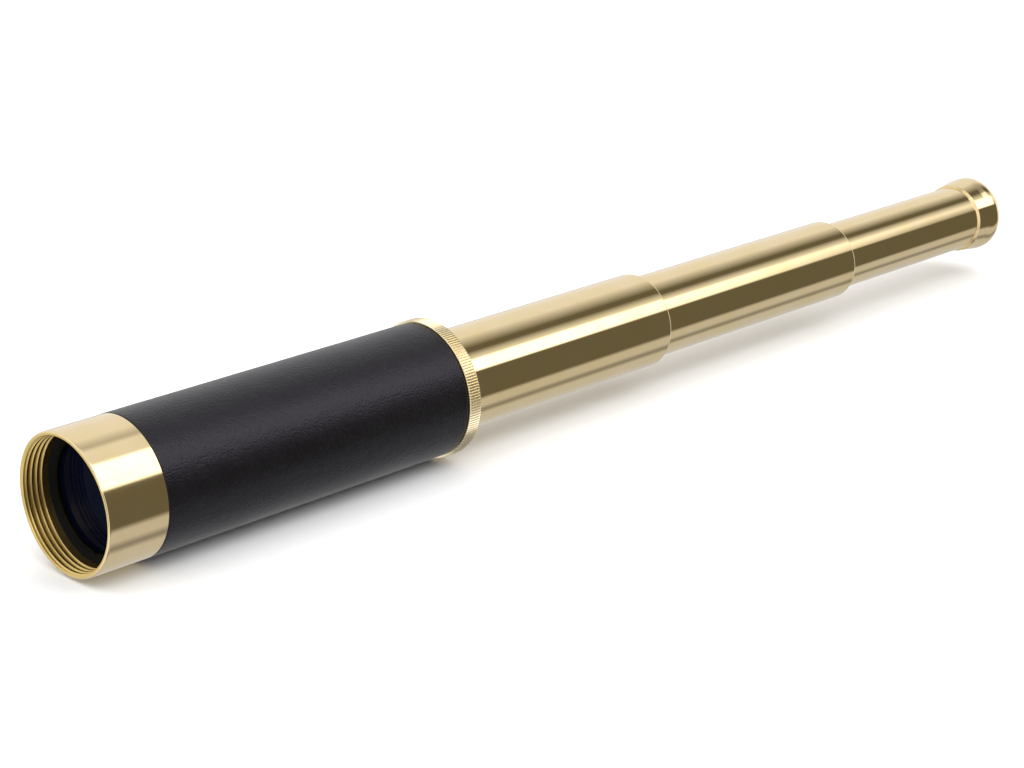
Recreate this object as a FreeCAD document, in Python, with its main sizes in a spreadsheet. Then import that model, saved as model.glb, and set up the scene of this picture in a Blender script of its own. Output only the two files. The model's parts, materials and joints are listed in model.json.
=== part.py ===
"""A pocket spyglass: a leather-covered barrel with three brass draw tubes that slide out of one another.

Frame: millimetres, +X along the optical axis from the mouth to the eyepiece, +Z up. The origin is the
centre of the mouth rim. The draws are modelled pulled right out, as the glass is used.
Each piece is drawn from its own front end (the end nearer the mouth) and then placed along the axis.
"""
import FreeCAD, Part
import math
import os
import re

import Sketcher

OUTPUT_FOLDER = "parts"
SHEET_NAME = "Dimensions"

# Driving dimensions, in millimetres unless the name says otherwise.
DIMENSIONS = {
    # the barrel
    "ring_length": 17.5,
    "ring_radius": 18.4,
    "ring_edge": 0.5,
    "ring_rear_edge": 0.15,
    "mouth_radius": 17.1,
    "mouth_chamfer": 0.3,
    "socket_start": 7.5,
    "barrel_end": 116.0,
    "barrel_bore": 16.9,
    "barrel_wall": 0.7,
    "leather_radius": 18.5,
    "leather_edge": 0.2,
    # the thread in the mouth
    "thread_pitch": 1.5,
    "thread_depth": 0.6,
    "thread_turns": 4.3,
    "thread_mouth": 1.1,
    "thread_floor": 0.1,
    "thread_overrun": 0.1,
    # the knurled ring at the back of the barrel
    "knurl_radius": 19.1,
    "knurl_width": 4.0,
    "knurl_edge": 0.2,
    "knurl_teeth": 160,
    "knurl_depth": 0.3,
    "knurl_gap": 0.5,
    "spigot_length": 11.7,
    "spigot_wall": 1.6,
    # the draw tubes
    "draw_1_radius": 13.9,
    "draw_1_wall": 0.5,
    "draw_1_reach": 81.5,
    "draw_2_radius": 12.2,
    "draw_2_wall": 0.45,
    "draw_2_reach": 88.0,
    "draw_3_radius": 10.4,
    "draw_3_wall": 0.45,
    "draw_3_reach": 67.5,
    "end_lip": 0.8,
    "end_rounding": 0.7,
    # stop collars, friction sleeves and the gaps between sliding pieces
    "collar_1_length": 8.0,
    "collar_2_length": 5.9,
    "collar_3_length": 6.4,
    "collar_lip": 1.6,
    "collar_step": 0.4,
    "collar_edge": 0.3,
    "sleeve_inset": 0.7,
    "sleeve_length": 10.0,
    "keeper_length": 1.5,
    "running_gap": 0.05,
    "collar_gap": 0.1,
    "lip_gap": 0.2,
    "stop_gap": 0.3,
    # stray-light baffles
    "baffle_thickness": 0.6,
    "baffle_setback": 0.4,
    "baffle_1_hole": 9.0,
    "baffle_2_hole": 7.5,
    # the objective, a cemented pair
    "cell_length": 9.7,
    "cell_flange": 2.5,
    "cell_flare": 1.1,
    "cell_brim": 0.2,
    "objective_radius": 15.4,
    "objective_seat": 2.0,
    "crown_thickness": 4.0,
    "flint_thickness": 2.0,
    "crown_front_curve": 122.0,
    "cemented_curve": 90.0,
    "flint_rear_curve": 300.0,
    "retainer_lip": 0.8,
    "objective_retainer_length": 1.0,
    "notch_width": 1.6,
    "notch_overrun": 0.5,
    "spanner_notches": 2,
    # the erector lenses, in their own tube inside draw 3
    "erector_length": 28.0,
    "erector_lens_radius": 8.0,
    "erector_lens_thickness": 2.8,
    "erector_curve": 20.0,
    "erector_seat": 5.0,
    "erector_stop_thickness": 0.6,
    "erector_stop_hole": 2.5,
    # the eyepiece, in its own cell behind the erector
    "eyepiece_length": 23.9,
    "field_lens_radius": 8.3,
    "field_lens_thickness": 3.2,
    "field_curve": 25.0,
    "field_seat": 5.0,
    "field_stop_start": 12.0,
    "field_stop_hole": 5.5,
    "eye_shoulder_start": 18.0,
    "eye_shoulder_length": 1.0,
    "eye_shoulder_radius": 6.0,
    "eye_lens_radius": 6.9,
    "eye_lens_thickness": 2.8,
    "eye_curve": 16.0,
    "lens_gap": 0.1,
    "retainer_length": 1.3,
    # the eyecap
    "cap_length": 12.4,
    "cap_lip_radius": 11.1,
    "cap_lip_edge": 0.6,
    "cap_band": 5.3,
    "cap_band_radius": 11.6,
    "cap_crown_rise": 2.8,
    "cap_crown_radius": 12.0,
    "cap_crown_rounding": 8.0,
    "cap_rear_rounding": 3.2,
    "cap_spigot": 5.6,
    "cap_spigot_wall": 1.6,
    "cap_floor": 1.6,
    "cap_dish_radius": 8.2,
    "cap_dish_depth": 2.2,
    "eye_hole_radius": 5.0,
}

# Places along the optical axis, as formulas of the driving dimensions.
KNURL_END = "(barrel_end + knurl_width)"
DRAW_1_END = "(" + KNURL_END + " + draw_1_reach)"
DRAW_2_END = "(" + DRAW_1_END + " + draw_2_reach)"
DRAW_3_END = "(" + DRAW_2_END + " + draw_3_reach)"
DRAW_END = {1: DRAW_1_END, 2: DRAW_2_END, 3: DRAW_3_END}
BEARING_LENGTH = "(end_lip + sleeve_length + keeper_length)"

# What each draw tube's stop collar meets when the tube is out, and the bore that the collar slides in.
STOP_FACE = {
    1: "(barrel_end - spigot_length)",
    2: "(" + DRAW_1_END + " - " + BEARING_LENGTH + ")",
    3: "(" + DRAW_2_END + " - " + BEARING_LENGTH + ")",
}
BORE_AROUND = {
    1: "barrel_bore",
    2: "(draw_1_radius - draw_1_wall)",
    3: "(draw_2_radius - draw_2_wall)",
}
BARREL_OUTSIDE = "(barrel_bore + barrel_wall)"
SPIGOT_BORE = "(barrel_bore - spigot_wall)"
TUBE_3_BORE = "(draw_3_radius - draw_3_wall)"

# A sub-part that loses less than this to a cutting feature has not been cut at all, in cubic millimetres.
SMALLEST_CUT = 0.001
# How near a rim must be to a body's end to count as that end's rim.
SAME_PLACE = 0.0001

document = FreeCAD.newDocument("Spyglass")
sheet = document.addObject("Spreadsheet::Sheet", SHEET_NAME)
sub_parts = []


# ---- the sheet and its formulas ----


def fill_sheet():
    """Write every driving dimension into a cell of its own, under its own name."""
    for row, (name, number) in enumerate(DIMENSIONS.items(), start=1):
        cell = "A" + str(row)
        sheet.set(cell, str(number))
        sheet.setAlias(cell, name)
    document.recompute()


def dimension(name):
    """The number that a dimension's cell now holds."""
    return float(sheet.get(name))


def bound(formula):
    """The formula with each dimension's name pointing at its cell in the sheet."""

    def in_sheet(word):
        name = word.group(0)
        return SHEET_NAME + "." + name if name in DIMENSIONS else name

    return re.sub(r"[a-z]\w*", in_sheet, formula)


def sag(curve, radius):
    """How far a ball of radius `curve` falls away from its top at `radius` from the axis."""
    return "(" + curve + " - sqrt(" + curve + "^2 - (" + radius + ")^2))"


# ---- bodies and sketches ----


def new_body(label, start):
    """An empty body whose own origin stands at `start` on the optical axis."""
    body = document.addObject("PartDesign::Body", label)
    body.Label = label
    body.setExpression(".Placement.Base.x", bound(start))
    sub_parts.append(body)
    return body


def new_sketch(body, name, plane_role):
    """A sketch on one of the body's own origin planes."""
    sketch = body.newObject("Sketcher::SketchObject", name)
    plane = next(item for item in body.Origin.OriginFeatures if item.Role == plane_role)
    sketch.AttachmentSupport = [(plane, "")]
    sketch.MapMode = "FlatFace"
    return sketch


def hold_point(sketch, shape, end, across, up):
    """Hold one end of a line or arc at (across, up), two formulas; "0" puts it on that axis."""
    for kind, formula, axis_line in (("DistanceX", across, -2), ("DistanceY", up, -1)):
        if formula == "0":
            sketch.addConstraint(Sketcher.Constraint("PointOnObject", shape, end, axis_line))
        else:
            number = sketch.addConstraint(Sketcher.Constraint(kind, -1, 1, shape, end, 1.0))
            sketch.setExpression("Constraints[" + str(number) + "]", bound(formula))


def draw_outline(sketch, corners):
    """A closed outline of straight lines whose corners are (across, up) formulas."""
    count = len(corners)
    circle_points = []
    for corner in range(count + 1):
        angle = 2 * math.pi * corner / count
        circle_points.append(FreeCAD.Vector(math.cos(angle), math.sin(angle), 0))
    for corner in range(count):
        sketch.addGeometry(Part.LineSegment(circle_points[corner], circle_points[corner + 1]), False)
    for corner in range(count):
        following = (corner + 1) % count
        sketch.addConstraint(Sketcher.Constraint("Coincident", corner, 2, following, 1))
    for corner, (across, up) in enumerate(corners):
        hold_point(sketch, corner, 1, across, up)


def spin(body, sketch):
    """Turn a sketch's outline once round the optical axis."""
    revolution = body.newObject("PartDesign::Revolution", "Turned_" + body.Label)
    revolution.Profile = sketch
    revolution.ReferenceAxis = (sketch, ["H_Axis"])
    revolution.Angle = 360
    document.recompute()


def turned(label, start, corners):
    """A turned piece from its corners, each a distance from its front end and a radius."""
    body = new_body(label, start)
    sketch = new_sketch(body, "Section_" + label, "XZ_Plane")
    draw_outline(sketch, corners)
    spin(body, sketch)
    return body


def plain_tube(length, inner, outer):
    """The corners of a plain tube, ring or holed disc."""
    return [("0", inner), ("0", outer), (length, outer), (length, inner)]


# ---- features that are added to a turned piece ----


def rim_name(body, place):
    """The name of the body's largest round edge at `place`, a distance from its front end."""
    rims = []
    for number, edge in enumerate(body.Tip.Shape.Edges, start=1):
        if isinstance(edge.Curve, Part.Circle) and abs(edge.Curve.Center.x - place) < SAME_PLACE:
            rims.append((edge.Curve.Radius, "Edge" + str(number)))
    return max(rims)[1]


def round_rim(body, name, place, radius):
    """Round off the outer edge of a turned piece at `place`, a formula."""
    base = body.Tip
    rim = rim_name(body, sheet.evalExpression(bound(place)))
    fillet = body.newObject("PartDesign::Fillet", "Rounded_" + name + "_" + body.Label)
    fillet.Base = (base, [rim])
    fillet.setExpression("Radius", bound(radius))
    document.recompute()


def require_cut(body, volume_before):
    """Stop if the body's newest feature removed nothing."""
    document.recompute()
    if body.Shape.Volume > volume_before - SMALLEST_CUT:
        raise RuntimeError(body.Tip.Label + " cut nothing from " + body.Label)


def cut_round_the_axis(body, name, corners, occurrences):
    """Cut one slot of the given outline right along the piece, then repeat it evenly round the axis."""
    volume_before = body.Shape.Volume
    sketch = new_sketch(body, "Outline_of_" + name, "YZ_Plane")
    draw_outline(sketch, corners)
    pocket = body.newObject("PartDesign::Pocket", "First_" + name)
    pocket.Profile = sketch
    pocket.Type = "ThroughAll"
    pocket.Reversed = True
    require_cut(body, volume_before)
    pattern = body.newObject("PartDesign::PolarPattern", "All_" + name)
    pattern.Originals = [pocket]
    pattern.Axis = (sketch, ["N_Axis"])
    pattern.Angle = 360
    pattern.setExpression("Occurrences", bound(occurrences))
    body.Tip = pattern
    document.recompute()


def cut_thread(body):
    """Cut the screw thread that a cap or a filter goes into, inside the mouth of the barrel."""
    volume_before = body.Shape.Volume
    sketch = new_sketch(body, "Thread_groove", "XZ_Plane")
    groove_middle = "-thread_pitch / 4"
    inside = "mouth_radius - thread_overrun"
    root = "mouth_radius + thread_depth"
    corners = [
        (groove_middle + " - thread_mouth / 2", inside),
        (groove_middle + " - thread_floor / 2", root),
        (groove_middle + " + thread_floor / 2", root),
        (groove_middle + " + thread_mouth / 2", inside),
    ]
    draw_outline(sketch, corners)
    document.recompute()
    helix = body.newObject("PartDesign::SubtractiveHelix", "Thread")
    helix.Profile = sketch
    helix.ReferenceAxis = (sketch, ["H_Axis"])
    helix.Mode = "pitch-turns-angle"
    helix.setExpression("Pitch", bound("thread_pitch"))
    helix.setExpression("Turns", bound("thread_turns"))
    require_cut(body, volume_before)


def retaining_ring(label, start, length, inner, outer):
    """A ring that screws down on a lens, with two notches in its bore for a spanner."""
    body = turned(label, start, plain_tube(length, inner, outer))
    notch_floor = "(" + inner + " + " + outer + ") / 2"
    corners = [
        ("-notch_width / 2", inner + " - notch_overrun"),
        ("notch_width / 2", inner + " - notch_overrun"),
        ("notch_width / 2", notch_floor),
        ("-notch_width / 2", notch_floor),
    ]
    cut_round_the_axis(body, "notches_" + label, corners, "spanner_notches")


# ---- lenses ----


def add_lens_face(sketch, vertex, radius, face):
    """One face of a lens in its half section, from the axis to the rim.

    `face` is (bulge, curve): bulge is "front", "rear" or "flat", and curve the name of its dimension.
    Returns the new shape's number, its end on the axis and its end on the rim. The numbers here
    only start the shape near its place; the constraints settle it.
    """
    bulge, curve = face
    if bulge == "flat":
        on_axis = FreeCAD.Vector(vertex, 0, 0)
        on_rim = FreeCAD.Vector(vertex, radius, 0)
        line = sketch.addGeometry(Part.LineSegment(on_axis, on_rim), False)
        sketch.addConstraint(Sketcher.Constraint("Vertical", line))
        return line, 1, 2
    ball = dimension(curve)
    lean = math.asin(radius / ball)
    if bulge == "front":
        middle = FreeCAD.Vector(vertex + ball, 0, 0)
        angles = (math.pi - lean, math.pi)
        ends = (2, 1)
    else:
        middle = FreeCAD.Vector(vertex - ball, 0, 0)
        angles = (0, lean)
        ends = (1, 2)
    circle = Part.Circle(middle, FreeCAD.Vector(0, 0, 1), ball)
    arc = sketch.addGeometry(Part.ArcOfCircle(circle, angles[0], angles[1]), False)
    sketch.addConstraint(Sketcher.Constraint("PointOnObject", arc, 3, -1))
    number = sketch.addConstraint(Sketcher.Constraint("Radius", arc, ball))
    sketch.setExpression("Constraints[" + str(number) + "]", bound(curve))
    return arc, ends[0], ends[1]


def lens(label, start, radius, thickness, front, rear):
    """A glass lens whose front vertex stands at `start`; front and rear are (bulge, curve) pairs."""
    body = new_body(label, start)
    sketch = new_sketch(body, "Section_" + label, "XZ_Plane")
    rim = dimension(radius)
    depth = dimension(thickness)
    front_face, front_vertex, front_rim = add_lens_face(sketch, 0, rim, front)
    rear_face, rear_vertex, rear_rim = add_lens_face(sketch, depth, rim, rear)
    front_corner = sketch.getPoint(front_face, front_rim)
    rear_corner = sketch.getPoint(rear_face, rear_rim)
    edge = sketch.addGeometry(Part.LineSegment(front_corner, rear_corner), False)
    middle = sketch.addGeometry(
        Part.LineSegment(FreeCAD.Vector(0, 0, 0), FreeCAD.Vector(depth, 0, 0)), False
    )
    sketch.addConstraint(Sketcher.Constraint("Coincident", front_face, front_rim, edge, 1))
    sketch.addConstraint(Sketcher.Constraint("Coincident", rear_face, rear_rim, edge, 2))
    sketch.addConstraint(Sketcher.Constraint("Coincident", front_face, front_vertex, middle, 1))
    sketch.addConstraint(Sketcher.Constraint("Coincident", rear_face, rear_vertex, middle, 2))
    sketch.addConstraint(Sketcher.Constraint("Horizontal", edge))
    hold_point(sketch, middle, 1, "0", "0")
    hold_point(sketch, middle, 2, thickness, "0")
    number = sketch.addConstraint(Sketcher.Constraint("DistanceY", -1, 1, edge, 1, rim))
    sketch.setExpression("Constraints[" + str(number) + "]", bound(radius))
    spin(body, sketch)
    return body


# ---- the barrel ----


def make_objective_ring():
    """The brass ring at the mouth: threaded inside, and bored out behind for the cell and the tube."""
    corners = [
        ("0", "mouth_radius + mouth_chamfer"),
        ("0", "ring_radius"),
        ("ring_length - ring_rear_edge", "ring_radius"),
        ("ring_length", "ring_radius - ring_rear_edge"),
        ("ring_length", BARREL_OUTSIDE),
        ("socket_start", BARREL_OUTSIDE),
        ("socket_start", "mouth_radius"),
        ("mouth_chamfer", "mouth_radius"),
    ]
    body = turned("objective_ring", "0", corners)
    round_rim(body, "front", "0", "ring_edge")
    cut_thread(body)


def make_barrel_tube():
    """The brass tube under the leather, from the lens cell's flange to the knurled ring."""
    start = "(socket_start + cell_flange)"
    turned("barrel_tube", start, plain_tube("barrel_end - " + start, "barrel_bore", BARREL_OUTSIDE))


def make_leather_sleeve():
    """The leather wrapped round the barrel tube, its two ends slightly turned down."""
    length = "barrel_end - ring_length"
    corners = [
        ("0", BARREL_OUTSIDE),
        ("0", "leather_radius - leather_edge"),
        ("leather_edge", "leather_radius"),
        (length + " - leather_edge", "leather_radius"),
        (length, "leather_radius - leather_edge"),
        (length, BARREL_OUTSIDE),
    ]
    turned("leather_sleeve", "ring_length", corners)


def make_knurled_ring():
    """The knurled brass ring that closes the back of the barrel, with a spigot that holds the bush."""
    flange_end = "spigot_length + knurl_width"
    corners = [
        ("0", SPIGOT_BORE),
        ("0", "barrel_bore"),
        ("spigot_length", "barrel_bore"),
        ("spigot_length", "knurl_radius - knurl_edge"),
        ("spigot_length + knurl_edge", "knurl_radius"),
        (flange_end + " - knurl_edge", "knurl_radius"),
        (flange_end, "knurl_radius - knurl_edge"),
        (flange_end, "draw_1_radius + lip_gap"),
        ("spigot_length", "draw_1_radius + lip_gap"),
        ("spigot_length", SPIGOT_BORE),
    ]
    body = turned("knurled_ring", STOP_FACE[1], corners)
    groove = [
        ("-knurl_gap / 2", "knurl_radius"),
        ("0", "knurl_radius - knurl_depth"),
        ("knurl_gap / 2", "knurl_radius"),
    ]
    cut_round_the_axis(body, "knurling", groove, "knurl_teeth")


def make_barrel_friction_sleeve():
    """The felt bush in the knurled ring that grips draw tube 1."""
    start = STOP_FACE[1] + " + sleeve_inset"
    length = "spigot_length - sleeve_inset"
    turned("barrel_friction_sleeve", start, plain_tube(length, "draw_1_radius + running_gap", SPIGOT_BORE))


def make_objective():
    """The objective: a black cell, a cemented crown and flint pair and their retaining ring.

    The cell's flange is held between the objective ring's shoulder and the barrel tube's front end.
    """
    seat_radius = "(objective_radius + lens_gap)"
    lip_radius = "(objective_radius - retainer_lip)"
    crown_front = "(socket_start + objective_seat - " + sag("crown_front_curve", "objective_radius") + ")"
    flint_front = "(" + crown_front + " + crown_thickness)"
    flint_rear = "(" + flint_front + " + flint_thickness)"
    seat_end = flint_rear + " - " + sag("flint_rear_curve", lip_radius) + " - socket_start"
    corners = [
        ("0", "mouth_radius - cell_brim"),
        ("0", BARREL_OUTSIDE),
        ("cell_flange", BARREL_OUTSIDE),
        ("cell_flange", "barrel_bore"),
        ("cell_length", "barrel_bore"),
        ("cell_length", lip_radius),
        (seat_end, lip_radius),
        (seat_end, seat_radius),
        ("cell_flare", seat_radius),
    ]
    turned("lens_cell", "socket_start", corners)
    crown_faces = (("front", "crown_front_curve"), ("rear", "cemented_curve"))
    flint_faces = (("rear", "cemented_curve"), ("rear", "flint_rear_curve"))
    lens("crown_lens", crown_front, "objective_radius", "crown_thickness", *crown_faces)
    lens("flint_lens", flint_front, "objective_radius", "flint_thickness", *flint_faces)
    length = "objective_retainer_length"
    start = crown_front + " + " + sag("crown_front_curve", lip_radius) + " - " + length
    retaining_ring("objective_retainer", start, length, lip_radius, seat_radius)


# ---- the draw tubes ----


def make_draw_tube(number):
    """One brass draw tube, from its seat in the stop collar to its rear end.

    Tubes 1 and 2 are turned in at the rear to a lip that clears the next tube; tube 3 is open.
    """
    radius = "draw_" + str(number) + "_radius"
    bore = "(" + radius + " - draw_" + str(number) + "_wall)"
    start = collar_start(number) + " + collar_lip"
    length = "(" + DRAW_END[number] + " - (" + start + "))"
    corners = [("0", bore), ("0", radius), (length, radius)]
    if number == 3:
        corners.append((length, bore))
    else:
        lip_radius = "draw_" + str(number + 1) + "_radius + lip_gap"
        corners.append((length, lip_radius))
        corners.append((length + " - end_lip", lip_radius))
        corners.append((length + " - end_lip", bore))
    body = turned("draw_tube_" + str(number), start, corners)
    if number != 3:
        round_rim(body, "rear", length, "end_rounding")


def collar_start(number):
    """Where a stop collar's front end stands with its draw tube right out."""
    return STOP_FACE[number] + " - stop_gap - collar_" + str(number) + "_length"


def collar_lip_radius(number):
    """The bore of a stop collar's lip, in front of the draw tube's end."""
    name = "draw_" + str(number)
    return name + "_radius - " + name + "_wall - collar_step"


def make_stop_collar(number):
    """The brass collar on the front end of a draw tube, which slides in the tube around it."""
    length = "collar_" + str(number) + "_length"
    outer = BORE_AROUND[number] + " - collar_gap"
    corners = [
        ("0", collar_lip_radius(number)),
        ("0", outer + " - collar_edge"),
        ("collar_edge", outer),
        (length + " - collar_edge", outer),
        (length, outer + " - collar_edge"),
        (length, "draw_" + str(number) + "_radius"),
        ("collar_lip", "draw_" + str(number) + "_radius"),
        ("collar_lip", collar_lip_radius(number)),
    ]
    turned("stop_collar_" + str(number), collar_start(number), corners)


def make_baffle(number):
    """A thin black disc in a stop collar's lip, which keeps stray light out of the next tube."""
    start = collar_start(number) + " + baffle_setback"
    hole = "baffle_" + str(number) + "_hole"
    turned("baffle_" + str(number), start, plain_tube("baffle_thickness", hole, collar_lip_radius(number)))


def make_bearing(number):
    """The felt bush in a draw tube's rear end that grips the next tube, and the ring that keeps it in."""
    outer = BORE_AROUND[number + 1]
    next_radius = "draw_" + str(number + 1) + "_radius"
    name = "draw_" + str(number)
    keeper_start = STOP_FACE[number + 1]
    keeper_tube = plain_tube("keeper_length", next_radius + " + lip_gap", outer)
    turned(name + "_sleeve_keeper", keeper_start, keeper_tube)
    sleeve_start = keeper_start + " + keeper_length"
    sleeve_tube = plain_tube("sleeve_length", next_radius + " + running_gap", outer)
    turned(name + "_friction_sleeve", sleeve_start, sleeve_tube)


# ---- the erector and the eyepiece, inside draw tube 3 ----


def make_erector():
    """The tube of two flat-backed lenses and a stop that turns the image the right way up."""
    start = collar_start(3) + " + collar_lip"
    seat_radius = "(erector_lens_radius + lens_gap)"
    shoulder = "(erector_lens_radius - retainer_lip)"
    rear_seat = "(erector_length - erector_seat)"
    corners = [
        ("0", seat_radius),
        ("erector_seat", seat_radius),
        ("erector_seat", shoulder),
        (rear_seat, shoulder),
        (rear_seat, seat_radius),
        ("erector_length", seat_radius),
        ("erector_length", TUBE_3_BORE),
        ("0", TUBE_3_BORE),
    ]
    turned("erector_tube", start, corners)

    stop_start = start + " + erector_seat - erector_stop_thickness"
    stop_disc = plain_tube("erector_stop_thickness", "erector_stop_hole", seat_radius)
    turned("erector_stop", stop_start, stop_disc)

    radius = "erector_lens_radius"
    thickness = "erector_lens_thickness"
    front_vertex = stop_start + " - " + thickness
    lens("front_erector_lens", front_vertex, radius, thickness, ("front", "erector_curve"), ("flat", ""))
    rear_flat = start + " + " + rear_seat
    lens("rear_erector_lens", rear_flat, radius, thickness, ("flat", ""), ("rear", "erector_curve"))

    fall = sag("erector_curve", shoulder)
    front_ring = front_vertex + " + " + fall + " - retainer_length"
    retaining_ring("front_erector_retainer", front_ring, "retainer_length", shoulder, seat_radius)
    rear_ring = rear_flat + " + " + thickness + " - " + fall
    retaining_ring("rear_erector_retainer", rear_ring, "retainer_length", shoulder, seat_radius)


def make_eyepiece():
    """The eyepiece: a black cell with a field lens, a field stop and an eye lens."""
    cell_start = DRAW_3_END + " - cap_spigot - eyepiece_length"
    field_seat_radius = "(field_lens_radius + lens_gap)"
    field_shoulder = "(field_lens_radius - retainer_lip)"
    eye_seat_radius = "(eye_lens_radius + lens_gap)"
    eye_seat = "(eye_shoulder_start + eye_shoulder_length)"
    corners = [
        ("0", field_seat_radius),
        ("field_seat", field_seat_radius),
        ("field_seat", field_shoulder),
        ("eye_shoulder_start", field_shoulder),
        ("eye_shoulder_start", "eye_shoulder_radius"),
        (eye_seat, "eye_shoulder_radius"),
        (eye_seat, eye_seat_radius),
        ("eyepiece_length", eye_seat_radius),
        ("eyepiece_length", TUBE_3_BORE),
        ("0", TUBE_3_BORE),
    ]
    turned("eyepiece_cell", cell_start, corners)

    field_vertex = cell_start + " + field_seat - field_lens_thickness"
    field_faces = (("front", "field_curve"), ("flat", ""))
    lens("field_lens", field_vertex, "field_lens_radius", "field_lens_thickness", *field_faces)
    field_ring = field_vertex + " + " + sag("field_curve", field_shoulder) + " - retainer_length"
    retaining_ring("field_lens_retainer", field_ring, "retainer_length", field_shoulder, field_seat_radius)

    stop_disc = plain_tube("baffle_thickness", "field_stop_hole", field_shoulder)
    turned("field_stop", cell_start + " + field_stop_start", stop_disc)

    eye_vertex = cell_start + " + " + eye_seat + " - " + sag("eye_curve", "eye_shoulder_radius")
    eye_faces = (("front", "eye_curve"), ("flat", ""))
    lens("eye_lens", eye_vertex, "eye_lens_radius", "eye_lens_thickness", *eye_faces)
    eye_ring = eye_vertex + " + eye_lens_thickness"
    ring_bore = "(eye_lens_radius - retainer_lip)"
    retaining_ring("eye_lens_retainer", eye_ring, "retainer_length", ring_bore, eye_seat_radius)


def make_eyecap():
    """The brass eyecap: a spigot in draw tube 3, a plain band, a wider crown, and a dished eye hole."""
    rear = "(cap_spigot + cap_length)"
    crown = "(cap_spigot + cap_band + cap_crown_rise)"
    dish_floor = "(" + rear + " - cap_dish_depth)"
    hollow_end = "(" + dish_floor + " - cap_floor)"
    spigot_bore = "(" + TUBE_3_BORE + " - cap_spigot_wall)"
    corners = [
        ("0", spigot_bore),
        ("0", TUBE_3_BORE),
        ("cap_spigot", TUBE_3_BORE),
        ("cap_spigot", "cap_lip_radius - cap_lip_edge"),
        ("cap_spigot + cap_lip_edge", "cap_lip_radius"),
        ("cap_spigot + cap_band", "cap_band_radius"),
        (crown, "cap_crown_radius"),
        (rear, "cap_crown_radius"),
        (rear, "cap_dish_radius"),
        (dish_floor, "eye_hole_radius"),
        (hollow_end, "eye_hole_radius"),
        (hollow_end, spigot_bore),
    ]
    body = turned("eyecap", DRAW_3_END + " - cap_spigot", corners)
    round_rim(body, "rear", rear, "cap_rear_rounding")
    round_rim(body, "crown", crown, "cap_crown_rounding")


# ---- checks and output ----


def check_model():
    """Stop unless every object built and every sub-part is one valid solid."""
    document.recompute()
    for item in document.Objects:
        if "Invalid" in item.State or "Error" in item.State:
            raise RuntimeError(item.Label + " failed: " + str(item.State))
    for body in sub_parts:
        shape = body.Shape
        if shape.isNull() or not shape.isValid() or len(shape.Solids) != 1:
            raise RuntimeError(body.Label + " is not one valid solid")


def write_parts():
    """Write each sub-part to its own STEP file, named after its label."""
    os.makedirs(OUTPUT_FOLDER, exist_ok=True)
    for body in sub_parts:
        body.Shape.exportStep(os.path.join(OUTPUT_FOLDER, body.Label + ".step"))
        print(body.Label, round(body.Shape.Volume, 1), "mm3")


fill_sheet()
make_objective_ring()
make_barrel_tube()
make_leather_sleeve()
make_knurled_ring()
make_barrel_friction_sleeve()
make_objective()
for draw_number in (1, 2, 3):
    make_draw_tube(draw_number)
    make_stop_collar(draw_number)
for draw_number in (1, 2):
    make_baffle(draw_number)
    make_bearing(draw_number)
make_erector()
make_eyepiece()
make_eyecap()
check_model()
write_parts()
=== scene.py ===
"""The spyglass's looks: polished brass, black leather, blackened inner metal, felt and coated glass.

Everything is in metres, in the same frame as the CAD model: +X runs from the mouth to the eyepiece.
"""

import json
import math

import bmesh
import bpy
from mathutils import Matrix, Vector, noise


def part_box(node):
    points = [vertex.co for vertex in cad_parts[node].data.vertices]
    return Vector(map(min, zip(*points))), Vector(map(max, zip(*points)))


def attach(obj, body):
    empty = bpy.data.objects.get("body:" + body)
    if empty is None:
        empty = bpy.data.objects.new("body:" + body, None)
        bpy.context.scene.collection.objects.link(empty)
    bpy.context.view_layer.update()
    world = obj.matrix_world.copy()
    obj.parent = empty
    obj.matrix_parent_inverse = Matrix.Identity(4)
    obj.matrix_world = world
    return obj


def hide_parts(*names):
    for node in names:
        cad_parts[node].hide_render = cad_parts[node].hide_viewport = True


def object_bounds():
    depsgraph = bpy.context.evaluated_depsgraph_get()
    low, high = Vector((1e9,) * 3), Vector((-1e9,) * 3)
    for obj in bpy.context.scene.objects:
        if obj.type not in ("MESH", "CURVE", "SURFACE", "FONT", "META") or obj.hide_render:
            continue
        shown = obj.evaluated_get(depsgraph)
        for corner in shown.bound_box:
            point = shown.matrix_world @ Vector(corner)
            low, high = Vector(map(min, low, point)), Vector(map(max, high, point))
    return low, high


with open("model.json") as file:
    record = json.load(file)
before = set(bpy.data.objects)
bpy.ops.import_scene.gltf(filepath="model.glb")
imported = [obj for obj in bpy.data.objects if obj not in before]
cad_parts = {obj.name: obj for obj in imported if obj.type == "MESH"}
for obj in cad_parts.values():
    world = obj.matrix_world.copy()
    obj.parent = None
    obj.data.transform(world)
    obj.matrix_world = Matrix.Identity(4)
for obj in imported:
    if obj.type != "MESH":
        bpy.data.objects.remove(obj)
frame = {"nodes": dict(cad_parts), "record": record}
cad_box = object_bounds()

MM = 0.001


# ---- small helpers ----

# The Mix node's sockets for colours, by number, as its sockets for other data share their names.
MIX_FACTOR = 0
MIX_FIRST = 6
MIX_SECOND = 7
MIX_RESULT = 2


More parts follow.
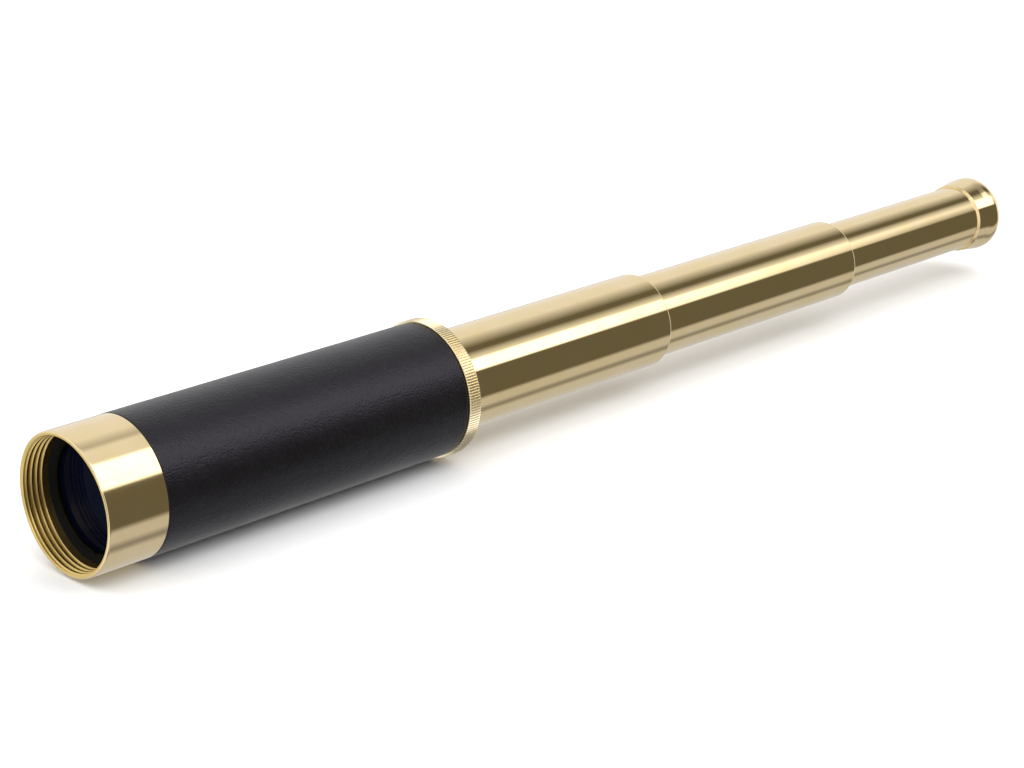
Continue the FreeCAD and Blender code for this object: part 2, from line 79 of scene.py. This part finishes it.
class Tree:
    """A material's or world's node tree, with short ways to add and join nodes."""

    def __init__(self, nodes_owner):
        nodes_owner.use_nodes = True
        self.tree = nodes_owner.node_tree
        self.tree.nodes.clear()

    def add(self, kind, inputs=None, **settings):
        """A node of this kind. Inputs are numbers, colours or other nodes' sockets, by name or number."""
        node = self.tree.nodes.new("ShaderNode" + kind)
        for name, value in settings.items():
            setattr(node, name, value)
        for name, value in (inputs or {}).items():
            if isinstance(value, bpy.types.NodeSocket):
                self.tree.links.new(value, node.inputs[name])
            else:
                node.inputs[name].default_value = value
        return node

    def math(self, operation, first, second=0.0, third=0.0):
        """The result of one Math node."""
        inputs = {0: first, 1: second, 2: third}
        return self.add("Math", inputs, operation=operation).outputs[0]

    def scaled(self, vector, scale):
        """A vector multiplied by (x, y, z)."""
        node = self.add("VectorMath", {0: vector, 1: scale}, operation="MULTIPLY")
        return node.outputs[0]

    def noise(self, vector, scale, detail, roughness):
        """The value of a Noise texture."""
        inputs = {"Vector": vector, "Scale": scale, "Detail": detail, "Roughness": roughness}
        return self.add("TexNoise", inputs).outputs["Fac"]

    def span(self, value, low, high, out_low, out_high):
        """A value moved from one range to another, clamped at both ends."""
        inputs = {"Value": value, 1: low, 2: high, 3: out_low, 4: out_high}
        return self.add("MapRange", inputs, clamp=True).outputs["Result"]

    def mix(self, factor, first, second):
        """A blend of two colours."""
        inputs = {MIX_FACTOR: factor, MIX_FIRST: first, MIX_SECOND: second}
        return self.add("Mix", inputs, data_type="RGBA").outputs[MIX_RESULT]

    def position(self):
        """A point of the surface, in metres, in the piece's own frame."""
        return self.add("TexCoord").outputs["Object"]

    def off_axis(self, position):
        """A point's distance from the glass's long axis."""
        split = self.add("SeparateXYZ", {0: position}).outputs
        squares = self.math("ADD", self.math("POWER", split[1], 2.0), self.math("POWER", split[2], 2.0))
        return self.math("SQRT", squares)

    def bump(self, height, strength, distance):
        """A bump map's normal."""
        inputs = {"Height": height, "Strength": strength, "Distance": distance}
        return self.add("Bump", inputs).outputs["Normal"]

    def output(self, shader, kind):
        """Join a shader node to the output of a material or world."""
        output = self.add(kind)
        self.tree.links.new(shader.outputs[0], output.inputs["Surface"])

    def surface(self, inputs):
        """The Principled shader, joined to the material's output."""
        self.output(self.add("BsdfPrincipled", inputs), "OutputMaterial")


def grey(level):
    """An opaque grey."""
    return (level, level, level, 1.0)


def new_material(name):
    """A new material and its empty tree."""
    material = bpy.data.materials.new(name)
    return material, Tree(material)


def add_object(name, shape, material):
    """A new object with this bmesh shape and this material."""
    mesh = bpy.data.meshes.new(name)
    shape.to_mesh(mesh)
    shape.free()
    mesh.materials.append(material)
    piece = bpy.data.objects.new(name, mesh)
    bpy.context.scene.collection.objects.link(piece)
    return piece


# ---- materials ----

# Each noise pattern is given by its scale per metre, its detail and its roughness. A contrast is the range of
# noise values over which a change goes from none to full.
LATHE_LINES = (9000.0, 2.0, 0.6)
SMEARS = (90.0, 4.0, 0.55)
SPECKS = (2600.0, 2.0, 0.5)
PATCHES = (120.0, 3.0, 0.5)
HAZE = (200.0, 3.0, 0.5)
CREASES = (420.0, 5.0, 0.62)
BROAD_WAVES = (60.0, 3.0, 0.5)

BRASS = (0.86, 0.69, 0.42, 1.0)
BRASS_WARM = (0.83, 0.66, 0.35, 1.0)
# The knurled ring's two colours are paler copies of the brass: painted light, making its teeth read brighter.
# The threaded bore's is deeper: partly duller inner brass, partly painted shade and inner reflections.
KNURL_BRASS_PAINTED_BRIGHTER = ((0.92, 0.80, 0.55, 1.0), (0.90, 0.77, 0.50, 1.0))
BORE_BRASS_AND_PAINTED_SHADE = (0.74, 0.55, 0.20, 1.0)
BORE_ROUGHNESS = 0.24
BORE_BLEND = 0.1 * MM
# Lathe lines run round the tubes, so their pattern is drawn out across the axis.
LATHE_STRETCH = (1.0, 0.02, 0.02)
SMEAR_CONTRAST = (0.35, 0.7)
# The shares of a brass's roughness that it has everywhere, in its smears and in its lathe lines.
EVEN_SHARE = 0.45
SMEAR_SHARE = 0.8
LINE_SHARE = 0.5
SPECK_HEIGHT = 0.15
LINE_DEPTH = 0.02 * MM


def brass_material(name, roughness, line_strength, bore=None, colours=(BRASS, BRASS_WARM)):
    """Polished, lacquered brass with faint lathe lines and uneven polish.

    Inside the radius `bore`, where one is given, it is rougher and deeper in colour. The deeper colour is
    partly duller brass and partly painted shade and painted inner reflections.
    """
    material, tree = new_material(name)
    position = tree.position()
    lines = tree.noise(tree.scaled(position, LATHE_STRETCH), *LATHE_LINES)
    smears = tree.noise(position, *SMEARS)
    specks = tree.noise(position, *SPECKS)
    colour = tree.mix(tree.span(smears, *SMEAR_CONTRAST, 0.0, 1.0), *colours)
    polish = tree.math("MULTIPLY_ADD", smears, roughness * SMEAR_SHARE, roughness * EVEN_SHARE)
    polish = tree.math("MULTIPLY_ADD", lines, roughness * LINE_SHARE, polish)
    if bore is not None:
        inside = tree.span(tree.off_axis(position), bore, bore + BORE_BLEND, 1.0, 0.0)
        polish = tree.math("MULTIPLY_ADD", inside, BORE_ROUGHNESS, polish)
        # The deeper colour inside is partly duller brass, partly painted shade and inner reflections.
        colour = tree.mix(inside, colour, BORE_BRASS_AND_PAINTED_SHADE)
    height = tree.math("MULTIPLY_ADD", specks, SPECK_HEIGHT, lines)
    normal = tree.bump(height, line_strength, LINE_DEPTH)
    tree.surface({"Base Color": colour, "Metallic": 1.0, "Roughness": polish, "Normal": normal})
    return material


FINE_GRAIN_DETAIL = 3.0
FINE_GRAIN_ROUGHNESS = 0.6
FINE_GRAIN_STRENGTH = 0.3
PATCH_CONTRAST = (0.3, 0.7)
PATCH_SHADE = 0.7
ROUGHNESS_SPREAD = 0.2


def plain_material(name, colour, roughness, grain_scale, grain_depth, gloss):
    """A plain even surface with fine grain and slight colour change."""
    material, tree = new_material(name)
    position = tree.position()
    grain = tree.noise(position, grain_scale, FINE_GRAIN_DETAIL, FINE_GRAIN_ROUGHNESS)
    patches = tree.noise(position, *PATCHES)
    dark = tuple(channel * PATCH_SHADE for channel in colour[:3]) + (1.0,)
    shade = tree.mix(tree.span(patches, *PATCH_CONTRAST, 0.0, 1.0), dark, colour)
    rough = tree.math("MULTIPLY_ADD", grain, ROUGHNESS_SPREAD, roughness - ROUGHNESS_SPREAD / 2)
    normal = tree.bump(grain, FINE_GRAIN_STRENGTH, grain_depth)
    tree.surface(
        {
            "Base Color": shade,
            "Roughness": rough,
            "Specular IOR Level": gloss,
            "Normal": normal,
        }
    )
    return material


# The leather is darker where its creases sink: painted shade in the creases.
LEATHER_CREASE_SHADE = (0.002, 0.002, 0.0025, 1.0)
LEATHER_LIGHT = (0.004, 0.004, 0.0048, 1.0)
CREASE_SHADE_CONTRAST = (0.35, 0.7)
LEATHER_TINT = (0.9, 0.82, 1.0, 1.0)
LEATHER_GLOSS = 0.38
LEATHER_ROUGHNESS = 0.28
LEATHER_UNEVENNESS = 0.12
# The pebbles: their scale per metre, how rounded they are, and how far and how finely they are pushed about.
PEBBLE_SCALE = 2200.0
PEBBLE_SMOOTHNESS = 0.4
PEBBLE_SHIFT = 0.4 * MM
PEBBLE_SHIFT_SCALE = 700.0
PEBBLE_SHIFT_DETAIL = 2.0
NOISE_MIDDLE = (0.5, 0.5, 0.5)
PEBBLE_HEIGHT = -0.8
WAVE_HEIGHT = 0.6
LEATHER_BUMP = 0.75
LEATHER_BUMP_DEPTH = 0.12 * MM


def pebble_height(tree, position):
    """The height of the leather's pebbles, from cells whose places are pushed about a little."""
    inputs = {"Vector": position, "Scale": PEBBLE_SHIFT_SCALE, "Detail": PEBBLE_SHIFT_DETAIL}
    warp = tree.add("TexNoise", inputs).outputs["Color"]
    shift = tree.add("VectorMath", {0: warp, 1: NOISE_MIDDLE}, operation="SUBTRACT").outputs[0]
    shift = tree.scaled(shift, (PEBBLE_SHIFT, PEBBLE_SHIFT, PEBBLE_SHIFT))
    warped = tree.add("VectorMath", {0: position, 1: shift}, operation="ADD").outputs[0]
    cells = tree.add("TexVoronoi", {"Vector": warped, "Scale": PEBBLE_SCALE}, feature="SMOOTH_F1")
    cells.inputs["Smoothness"].default_value = PEBBLE_SMOOTHNESS
    return cells.outputs["Distance"]


def leather_material():
    """Fine-grained black leather: small pebbled cells and soft creases, with a low sheen."""
    material, tree = new_material("leather_black")
    position = tree.position()
    creases = tree.noise(position, *CREASES)
    broad = tree.noise(position, *BROAD_WAVES)
    height = tree.math("MULTIPLY_ADD", pebble_height(tree, position), PEBBLE_HEIGHT, creases)
    height = tree.math("MULTIPLY_ADD", broad, WAVE_HEIGHT, height)
    # Darker in the sunken creases: painted shade.
    colour = tree.mix(tree.span(creases, *CREASE_SHADE_CONTRAST, 0.0, 1.0), LEATHER_CREASE_SHADE, LEATHER_LIGHT)
    rough = tree.math("MULTIPLY_ADD", broad, LEATHER_UNEVENNESS, LEATHER_ROUGHNESS)
    normal = tree.bump(height, LEATHER_BUMP, LEATHER_BUMP_DEPTH)
    tree.surface(
        {
            "Base Color": colour,
            "Roughness": rough,
            "Specular IOR Level": LEATHER_GLOSS,
            "Specular Tint": LEATHER_TINT,
            "Normal": normal,
        }
    )
    return material


HAZE_CONTRAST = (0.3, 0.8)
HAZE_ROUGHNESS = 0.03


def glass_material(name, tint, ior, clearness):
    """Polished lens glass. A low IOR and less clearness stand in for a coating that cuts reflections.

    Where the glass is less clear, its tint shows as a flat colour. On the coated lens this near-black navy is
    painted: the coating's blue reflection and the dark of the tube behind it.
    """
    material, tree = new_material(name)
    haze = tree.noise(tree.position(), *HAZE)
    rough = tree.span(haze, *HAZE_CONTRAST, 0.0, HAZE_ROUGHNESS)
    tree.surface({"Base Color": tint, "Roughness": rough, "IOR": ior, "Transmission Weight": clearness})
    return material


# The objective ring is polished down to this depth under its outside, and plainly turned within, where its
# colour is also deepened with painted shade.
RING_SKIN = 0.5 * MM
RING_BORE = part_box("objective_ring")[1][2] - RING_SKIN

MATERIALS = {
    "polished_brass": brass_material("brass_polished", roughness=0.04, line_strength=0.05),
    "turned_brass": brass_material("brass_turned", roughness=0.3, line_strength=0.3),
    "black_leather": leather_material(),
    "black_metal": plain_material(
        "metal_blackened",
        colour=(0.002, 0.002, 0.0022, 1.0),
        roughness=0.5,
        grain_scale=2500.0,
        grain_depth=0.02 * MM,
        gloss=0.08,
    ),
    "black_felt": plain_material(
        "felt_black",
        colour=(0.02, 0.02, 0.022, 1.0),
        roughness=0.95,
        grain_scale=5000.0,
        grain_depth=0.1 * MM,
        gloss=0.5,
    ),
    # The coated lens's flat navy tint is painted reflection of its coating, over a painted dark of the tube
    # behind.
    "coated_glass": glass_material("glass_coated", tint=(0.002, 0.004, 0.015, 1.0), ior=1.06, clearness=0.4),
    "clear_glass": glass_material("glass_clear", tint=(0.9, 0.95, 0.95, 1.0), ior=1.4, clearness=1.0),
}
SPECIAL_MATERIALS = {
    "objective_ring": brass_material("brass_satin", roughness=0.09, line_strength=0.1, bore=RING_BORE),
    # The knurled ring's paler brass is painted light that brightens its teeth.
    "knurled_ring": brass_material("brass_knurled", roughness=0.26, line_strength=0.1, colours=KNURL_BRASS_PAINTED_BRIGHTER),
}


def dress_nodes():
    """Give every CAD node the material of its slot, or its own finish of it."""
    slots = {part["node"]: part["material_slot"] for part in frame["record"]["subparts"]}
    for name, node in frame["nodes"].items():
        node.data.materials.clear()
        node.data.materials.append(SPECIAL_MATERIALS.get(name, MATERIALS[slots[name]]))


dress_nodes()


# ---- leather sleeve ----

SLEEVE_LOW, SLEEVE_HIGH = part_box("leather_sleeve")
SLEEVE_RADIUS = SLEEVE_HIGH[2]
SLEEVE_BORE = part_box("barrel_tube")[1][2]
MESH_STEP = 0.45 * MM
GRAIN_DEPTH = 0.035 * MM
GRAIN_SCALE = 1100.0
WAVE_DEPTH = 0.05 * MM
WAVE_SCALE = 90.0
END_ROUNDING = 0.3 * MM
END_STEPS = 4
# The seam runs along the underside.
SEAM_TURN = math.radians(270)
SEAM_HALF_WIDTH = 0.5 * MM
SEAM_DEPTH = 0.25 * MM


def smooth_noise(point, scale):
    """Smooth noise at a point, moved from between -1 and 1 to between 0 and 1."""
    return min(max(0.5 + 0.5 * noise.noise(point * scale), 0.0), 1.0)


def leather_radius(x, turn):
    """The leather's outer radius at a place along it and a turn round it, never over the full one."""
    point = Vector((x, SLEEVE_RADIUS * math.cos(turn), SLEEVE_RADIUS * math.sin(turn)))
    grain = smooth_noise(point, GRAIN_SCALE)
    wave = smooth_noise(point, WAVE_SCALE)
    from_seam = abs(turn - SEAM_TURN) * SLEEVE_RADIUS
    seam = math.exp(-((from_seam / SEAM_HALF_WIDTH) ** 2))
    return SLEEVE_RADIUS - GRAIN_DEPTH * grain - WAVE_DEPTH * wave - SEAM_DEPTH * seam


def sleeve_stations():
    """The place of each ring of points along the leather, with how far the end's rounding lowers it there."""
    start, end = SLEEVE_LOW[0], SLEEVE_HIGH[0]
    rounding = []
    for step in range(END_STEPS):
        angle = 0.5 * math.pi * step / END_STEPS
        rounding.append((END_ROUNDING * (1 - math.cos(angle)), END_ROUNDING * (1 - math.sin(angle))))
    length = end - start - 2 * END_ROUNDING
    count = round(length / MESH_STEP)
    stations = [(start + inwards, lowered) for inwards, lowered in rounding]
    stations += [(start + END_ROUNDING + length * index / count, 0.0) for index in range(count + 1)]
    stations += [(end - inwards, lowered) for inwards, lowered in reversed(rounding)]
    return stations


def point_ring(shape, x, radii, turns):
    """A ring of new points round the axis at x, each with its own radius and turn."""
    return [shape.verts.new((x, r * math.cos(turn), r * math.sin(turn))) for r, turn in zip(radii, turns)]


def add_leather():
    """The leather sleeve: pebbled grain, slight waves, rounded ends and a butt seam underneath."""
    shape = bmesh.new()
    around = round(2 * math.pi * SLEEVE_RADIUS / MESH_STEP)
    turns = [2 * math.pi * index / around for index in range(around)]
    rings = []
    for x, lowered in sleeve_stations():
        radii = [leather_radius(x, turn) - lowered for turn in turns]
        rings.append(point_ring(shape, x, radii, turns))
    for x in (SLEEVE_HIGH[0], SLEEVE_LOW[0]):
        rings.append(point_ring(shape, x, [SLEEVE_BORE] * around, turns))
    for ring, following in zip(rings, rings[1:] + rings[:1]):
        for index in range(around):
            beside = (index + 1) % around
            shape.faces.new((ring[index], ring[beside], following[beside], following[index]))
    bmesh.ops.recalc_face_normals(shape, faces=shape.faces)
    leather = add_object("leather", shape, MATERIALS["black_leather"])
    leather.data.shade_smooth()
    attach(leather, "barrel")
    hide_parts("leather_sleeve")


add_leather()


# ---- floor, light and camera ----

FLOOR_RADIUS = 4.0
FLOOR_SEGMENTS = 96
FLOOR_LEVEL = 0.86
FLOOR_ROUGHNESS = 0.9
BACKDROP_SEGMENTS = 64
BACKDROP_RINGS = 32
UNSEEN_BY = ("diffuse", "glossy", "transmission", "shadow", "volume_scatter")


def add_floor():
    """A plain pale floor under the knurled ring, the lowest part of the glass."""
    shape = bmesh.new()
    bmesh.ops.create_circle(shape, cap_ends=True, radius=FLOOR_RADIUS, segments=FLOOR_SEGMENTS)
    material, tree = new_material("floor_pale")
    tree.surface({"Base Color": grey(FLOOR_LEVEL), "Roughness": FLOOR_ROUGHNESS})
    floor = add_object("floor", shape, material)
    floor.location.z = cad_box[0][2]
    floor.visible_glossy = False


def add_backdrop():
    """A plain white sphere round the whole scene, which only the camera sees."""
    shape = bmesh.new()
    bmesh.ops.create_uvsphere(
        shape, u_segments=BACKDROP_SEGMENTS, v_segments=BACKDROP_RINGS, radius=FLOOR_RADIUS
    )
    material, tree = new_material("backdrop_white")
    light = tree.add("Emission", {"Color": grey(1.0), "Strength": 1.0})
    tree.output(light, "OutputMaterial")
    backdrop = add_object("backdrop", shape, material)
    for ray in UNSEEN_BY:
        setattr(backdrop, "visible_" + ray, False)


# The studio's soft light panels. Each runs alongside the glass and is placed by its angle round the long
# axis: 0 is level at the back, 90 straight up, 180 level at the front and 270 straight down.
# A panel is given by its middle, half width and soft edge in degrees, and its brightness. Later ones lie over
# earlier ones.
PANELS = {
    "back wall": (20, 40, 35, 0.95),
    "strip glow": (127, 6, 16, 0.9),
    "table": (285, 65, 8, 0.62),
    "shadow on the table": (248, 2, 10, 0.3),
}
# Where a panel begins or ends along the glass is given by lean, the x of the direction in which it is seen.
# The strip light is full up to its first lean, and from its second on this share of it is left.
STRIP_LIGHT = (138, 11, 5, 2.4)
STRIP_FADE_LEAN = (0.68, 0.79)
STRIP_FADE = 0.15
# Two more are over the mouth end only, full up to the first lean and gone at the second. From the camera's
# place, little but the ring and the barrel mirrors them.
MOUTH_PANELS = {
    "overhead": (100, 15, 8, 0.95),
    "wide strip": (121, 9, 4, 2.6),
}
MOUTH_PANELS_LEAN = (0.55, 0.65)
# Soft panels also face the two ends. Each begins at its first lean and is full at its second.
MOUTH_END_LEAN = (-0.35, -0.6)
EYE_END_LEAN = (0.84, 0.9)
END_PANEL_LEVEL = 1.1
# The one at the mouth thins out again between these leans, so that the tubes wash out less when they are seen
# from the eyepiece end.
MOUTH_END_OPENING = (-0.82, -0.92)
ROOM_COLOUR = (0.15, 0.138, 0.1, 1.0)
WITHOUT_X = (0.0, 1.0, 1.0)


def with_panel(tree, light, direction, panel, kept=1.0):
    """The light with one more panel laid over it, thinned to the share that is kept."""
    middle, half_width, edge, level = panel
    turn = math.radians(middle)
    across = tree.scaled(direction, WITHOUT_X)
    across = tree.add("VectorMath", {0: across}, operation="NORMALIZE").outputs[0]
    towards = (0.0, math.cos(turn), math.sin(turn))
    facing = tree.add("VectorMath", {0: across, 1: towards}, operation="DOT_PRODUCT").outputs["Value"]
    away = tree.math("ARCCOSINE", facing)
    share = tree.span(away, math.radians(half_width), math.radians(half_width + edge), 1.0, 0.0)
    return tree.mix(tree.math("MULTIPLY", share, kept), light, grey(level))


def light_studio():
    """Plain soft studio light: a dim, faintly warm room with plain panels round the glass and at its ends."""
    world = bpy.data.worlds.new("studio")
    bpy.context.scene.world = world
    tree = Tree(world)
    direction = tree.add("TexCoord").outputs["Generated"]
    lean = tree.add("SeparateXYZ", {0: direction}).outputs[0]
    light = ROOM_COLOUR
    for panel in PANELS.values():
        light = with_panel(tree, light, direction, panel)
    strip_left = tree.span(lean, *STRIP_FADE_LEAN, 1.0, STRIP_FADE)
    light = with_panel(tree, light, direction, STRIP_LIGHT, strip_left)
    at_mouth = tree.span(lean, *MOUTH_PANELS_LEAN, 1.0, 0.0)
    for panel in MOUTH_PANELS.values():
        light = with_panel(tree, light, direction, panel, at_mouth)
    mouth_end = tree.span(lean, *MOUTH_END_LEAN, 0.0, 1.0)
    mouth_end = tree.math("MULTIPLY", mouth_end, tree.span(lean, *MOUTH_END_OPENING, 1.0, 0.0))
    light = tree.mix(mouth_end, light, grey(END_PANEL_LEVEL))
    eye_end = tree.span(lean, *EYE_END_LEAN, 0.0, 1.0)
    light = tree.mix(eye_end, light, grey(END_PANEL_LEVEL))
    background = tree.add("Background", {"Color": light, "Strength": 1.0})
    tree.output(background, "OutputWorld")


FILL_WIDTH = 2.6
FILL_DEPTH = 2.2
FILL_POWER = 16.0
FILL_PLACE = (0.15, 0.1, 1.2)


def add_fill():
    """A large overhead lamp that brightens the floor and doesn't show in the brass."""
    data = bpy.data.lights.new("overhead", "AREA")
    data.shape = "RECTANGLE"
    data.size = FILL_WIDTH
    data.size_y = FILL_DEPTH
    data.energy = FILL_POWER
    lamp = bpy.data.objects.new("overhead", data)
    lamp.location = FILL_PLACE
    lamp.visible_glossy = False
    bpy.context.scene.collection.objects.link(lamp)


CAMERA_AIM = Vector((0.1475, -0.0028, -0.0055))
CAMERA_DISTANCE = 0.6831
CAMERA_HEADING = math.radians(45.27)
CAMERA_TILT = math.radians(19.6)
# The lens and the sensor's width are in millimetres, as Blender takes them.
CAMERA_LENS = 86.5
CAMERA_SENSOR = 36.0
CAMERA_CLIP = 10 * MM


def add_camera():
    """The photograph's viewpoint: ahead of the mouth, to one side and a little above."""
    data = bpy.data.cameras.new("camera")
    data.lens = CAMERA_LENS
    data.sensor_width = CAMERA_SENSOR
    data.clip_start = CAMERA_CLIP
    camera = bpy.data.objects.new("camera", data)
    forward = Vector(
        (
            math.cos(CAMERA_TILT) * math.cos(CAMERA_HEADING),
            math.cos(CAMERA_TILT) * math.sin(CAMERA_HEADING),
            -math.sin(CAMERA_TILT),
        )
    )
    camera.location = CAMERA_AIM - forward * CAMERA_DISTANCE
    camera.rotation_euler = forward.to_track_quat("-Z", "Y").to_euler()
    bpy.context.scene.collection.objects.link(camera)
    bpy.context.scene.camera = camera


add_floor()
add_backdrop()
light_studio()
add_fill()
add_camera()
bpy.context.scene.view_settings.view_transform = "Standard"
